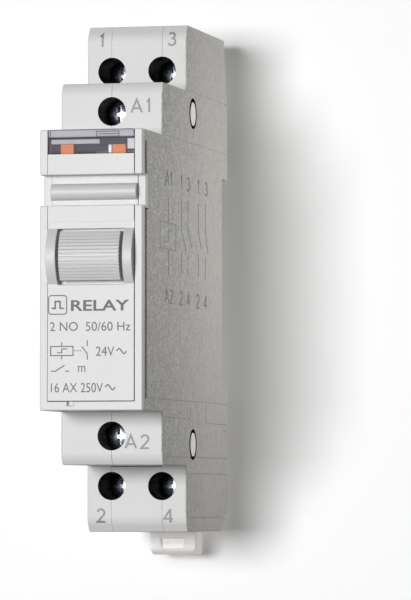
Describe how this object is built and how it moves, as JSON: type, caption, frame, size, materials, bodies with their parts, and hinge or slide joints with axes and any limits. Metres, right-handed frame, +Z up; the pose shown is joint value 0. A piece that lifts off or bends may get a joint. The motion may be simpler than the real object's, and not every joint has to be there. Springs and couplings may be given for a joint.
{
  "type": "din rail step relay",
  "caption": "One-module step relay for a 35 mm rail: stepped grey housing, box clamp terminals, thumb button, flag window, magnet, rocker and contacts, and a sliding rail clip.",
  "frame": {"origin": "middle of the seat that rests on the rail's front face", "axes": "+X right as seen from the front, +Y back into the rail, +Z up as mounted"},
  "size_m": [0.017, 0.0618, 0.0883],
  "materials": {
    "housing_plastic": "spark-eroded moulded grey",
    "front_plastic": "fine satin light grey",
    "window_plastic": "clear tinted plastic",
    "flag_plastic": "orange",
    "white_plastic": "natural white",
    "dark_plastic": "dark moulded",
    "bobbin_plastic": "dark blue moulded",
    "screw_steel": "bright zinc",
    "cage_steel": "zinc plated",
    "contact_brass": "bright",
    "copper_wire": "enamelled copper",
    "magnet_iron": "nickel plated iron",
    "contact_silver": "silver alloy",
    "spring_steel": "spring steel"
  },
  "bodies": {
    "housing": {"right_shell": "housing_plastic", "left_shell": "housing_plastic", "top_divider": "housing_plastic", "bottom_divider": "housing_plastic", "front_frame": "front_plastic", "front_plate": "front_plastic", "indicator_window": "window_plastic", "button_spring": "spring_steel", "joining_pin_top": "white_plastic", "joining_pin_bottom": "white_plastic", "coil_strip_a1": "contact_brass", "coil_strip_a2": "contact_brass", "coil_lead_a1": "copper_wire", "coil_lead_a2": "copper_wire", "coil_bobbin": "bobbin_plastic", "coil_winding": "copper_wire", "magnet_core": "magnet_iron", "magnet_yoke": "magnet_iron", "rocker_axle": "spring_steel", "detent_spring": "spring_steel", "contact_strip_1": "contact_brass", "contact_strip_2": "contact_brass", "contact_strip_3": "contact_brass", "contact_strip_4": "contact_brass", "fixed_contact_left": "contact_silver", "fixed_contact_right": "contact_silver"},
    "button": {"manual_button": "front_plastic"},
    "armature": {"armature": "magnet_iron"},
    "pawl": {"pawl": "dark_plastic"},
    "rocker": {"rocker": "dark_plastic"},
    "flag_left": {"indicator_flag_left": "flag_plastic"},
    "flag_right": {"indicator_flag_right": "flag_plastic"},
    "blade_left": {"contact_blade_left": "contact_brass", "moving_contact_left": "contact_silver"},
    "blade_right": {"contact_blade_right": "contact_brass", "moving_contact_right": "contact_silver"},
    "clip": {"rail_clip": "white_plastic"},
    "screw_1": {"terminal_screw_1": "screw_steel"},
    "cage_1": {"clamp_cage_1": "cage_steel"},
    "screw_3": {"terminal_screw_3": "screw_steel"},
    "cage_3": {"clamp_cage_3": "cage_steel"},
    "screw_2": {"terminal_screw_2": "screw_steel"},
    "cage_2": {"clamp_cage_2": "cage_steel"},
    "screw_4": {"terminal_screw_4": "screw_steel"},
    "cage_4": {"clamp_cage_4": "cage_steel"},
    "screw_a1": {"terminal_screw_a1": "screw_steel"},
    "cage_a1": {"clamp_cage_a1": "cage_steel"},
    "screw_a2": {"terminal_screw_a2": "screw_steel"},
    "cage_a2": {"clamp_cage_a2": "cage_steel"}
  },
  "joints": [
    {"name": "armature_hinge", "type": "hinge", "parent": "housing", "child": "armature", "pos_m": [0, -0.0025, 0.0108], "axis": [1, 0, 0], "range_deg": [0, 8], "stiffness_Nm_per_rad": 0.02, "springref_deg": -2.86},
    {"name": "button_slide", "type": "slide", "parent": "housing", "child": "button", "axis": [0, 1, 0], "range_m": [0, 0.0012]},
    {"name": "rocker_tilt", "type": "hinge", "parent": "housing", "child": "rocker", "pos_m": [0, -0.0275, -0.005], "axis": [1, 0, 0], "range_deg": [0, 24]},
    {"name": "pawl_swing", "type": "hinge", "parent": "armature", "child": "pawl", "pos_m": [0, -0.0275, 0.0115], "axis": [1, 0, 0], "range_deg": [0, 20]},
    {"name": "flag_left_slide", "type": "slide", "parent": "housing", "child": "flag_left", "axis": [0, 0, -1], "range_m": [0, 0.0021]},
    {"name": "flag_right_slide", "type": "slide", "parent": "housing", "child": "flag_right", "axis": [0, 0, -1], "range_m": [0, 0.0021]},
    {"name": "blade_left_swing", "type": "hinge", "parent": "housing", "child": "blade_left", "pos_m": [-0.005, -0.0239, -0.019], "axis": [-1, 0, 0], "range_deg": [0, 8]},
    {"name": "blade_right_swing", "type": "hinge", "parent": "housing", "child": "blade_right", "pos_m": [0.005, -0.0239, -0.019], "axis": [-1, 0, 0], "range_deg": [0, 8]},
    {"name": "clip_slide", "type": "slide", "parent": "housing", "child": "clip", "axis": [0, 0, -1], "range_m": [0, 0.0035], "stiffness_N_per_m": 3000, "springref_m": -0.001},
    {"name": "screw_1_turn", "type": "hinge", "parent": "housing", "child": "screw_1", "pos_m": [-0.0043, -0.02, 0.0345], "axis": [0, 1, 0], "range_deg": [0, 1800]},
    {"name": "cage_1_lift", "type": "slide", "parent": "housing", "child": "cage_1", "axis": [0, -1, 0], "range_m": [0, 0.003]},
    {"name": "screw_3_turn", "type": "hinge", "parent": "housing", "child": "screw_3", "pos_m": [0.0043, -0.02, 0.0345], "axis": [0, 1, 0], "range_deg": [0, 1800]},
    {"name": "cage_3_lift", "type": "slide", "parent": "housing", "child": "cage_3", "axis": [0, -1, 0], "range_m": [0, 0.003]},
    {"name": "screw_2_turn", "type": "hinge", "parent": "housing", "child": "screw_2", "pos_m": [-0.0043, -0.02, -0.0345], "axis": [0, 1, 0], "range_deg": [0, 1800]},
    {"name": "cage_2_lift", "type": "slide", "parent": "housing", "child": "cage_2", "axis": [0, -1, 0], "range_m": [0, 0.003]},
    {"name": "screw_4_turn", "type": "hinge", "parent": "housing", "child": "screw_4", "pos_m": [0.0043, -0.02, -0.0345], "axis": [0, 1, 0], "range_deg": [0, 1800]},
    {"name": "cage_4_lift", "type": "slide", "parent": "housing", "child": "cage_4", "axis": [0, -1, 0], "range_m": [0, 0.003]},
    {"name": "screw_a1_turn", "type": "hinge", "parent": "housing", "child": "screw_a1", "pos_m": [0, -0.036, 0.0264], "axis": [0, 1, 0], "range_deg": [0, 1440]},
    {"name": "cage_a1_lift", "type": "slide", "parent": "housing", "child": "cage_a1", "axis": [0, -1, 0], "range_m": [0, 0.0024]},
    {"name": "screw_a2_turn", "type": "hinge", "parent": "housing", "child": "screw_a2", "pos_m": [0, -0.036, -0.0264], "axis": [0, 1, 0], "range_deg": [0, 1440]},
    {"name": "cage_a2_lift", "type": "slide", "parent": "housing", "child": "cage_a2", "axis": [0, -1, 0], "range_m": [0, 0.0024]}
  ],
  "couplings": [
    {"joint": "button_slide", "follows": "armature_hinge", "m_per_rad": 0.0085944},
    {"joint": "rocker_tilt", "follows": "flag_left_slide", "rad_per_m": 199.46},
    {"joint": "flag_right_slide", "follows": "flag_left_slide", "ratio": 1},
    {"joint": "pawl_swing", "follows": "flag_left_slide", "rad_per_m": 166.22},
    {"joint": "blade_left_swing", "follows": "flag_left_slide", "rad_per_m": 66.48},
    {"joint": "blade_right_swing", "follows": "flag_left_slide", "rad_per_m": 66.48},
    {"joint": "screw_1_turn", "follows": "cage_1_lift", "rad_per_m": 10472},
    {"joint": "screw_3_turn", "follows": "cage_3_lift", "rad_per_m": 10472},
    {"joint": "screw_2_turn", "follows": "cage_2_lift", "rad_per_m": 10472},
    {"joint": "screw_4_turn", "follows": "cage_4_lift", "rad_per_m": 10472},
    {"joint": "screw_a1_turn", "follows": "cage_a1_lift", "rad_per_m": 10472},
    {"joint": "screw_a2_turn", "follows": "cage_a2_lift", "rad_per_m": 10472}
  ]
}
